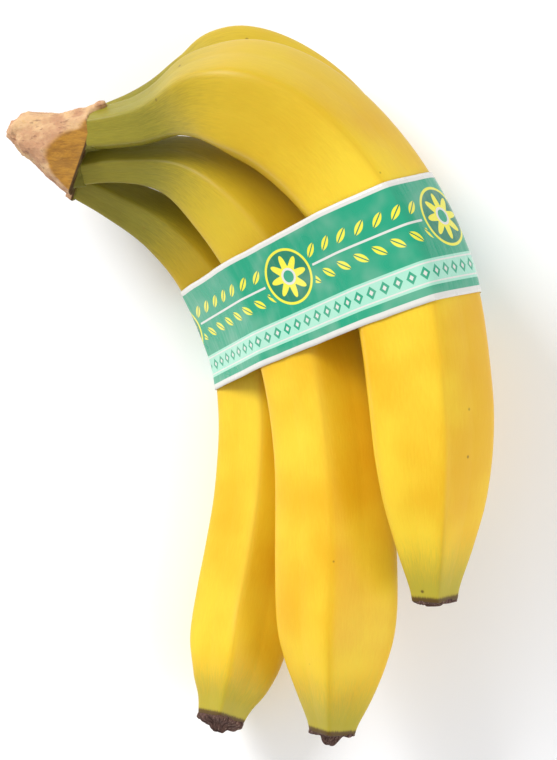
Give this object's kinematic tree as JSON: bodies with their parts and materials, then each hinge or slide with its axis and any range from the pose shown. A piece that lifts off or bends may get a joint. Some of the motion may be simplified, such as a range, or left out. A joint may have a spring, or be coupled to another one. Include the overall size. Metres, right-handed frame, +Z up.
{
  "type": "hand of bananas",
  "caption": "Hand of ripe bananas joined at a woody cut crown, lying on its side and held together by a printed film band.",
  "frame": {"origin": "on the surface the hand lies on, under the middle of its bounding box", "axes": "+Z up off the surface; +X from the cut crown towards the outer bananas; the flower ends point along -Y"},
  "size_m": [0.1508, 0.2276, 0.0869],
  "materials": {
    "banana_peel": "waxy satin peel, green at both ends",
    "crown_skin": "dry corky skin",
    "dried_flower": "dark, dry and fibrous",
    "band_film": "glossy printed film"
  },
  "bodies": {
    "root": {"crown": "crown_skin", "front_banana": "banana_peel", "middle_banana": "banana_peel", "left_banana": "banana_peel", "back_banana": "banana_peel", "front_flower_end": "dried_flower", "middle_flower_end": "dried_flower", "left_flower_end": "dried_flower", "back_flower_end": "dried_flower", "label_band": "band_film"}
  },
  "joints": []
}
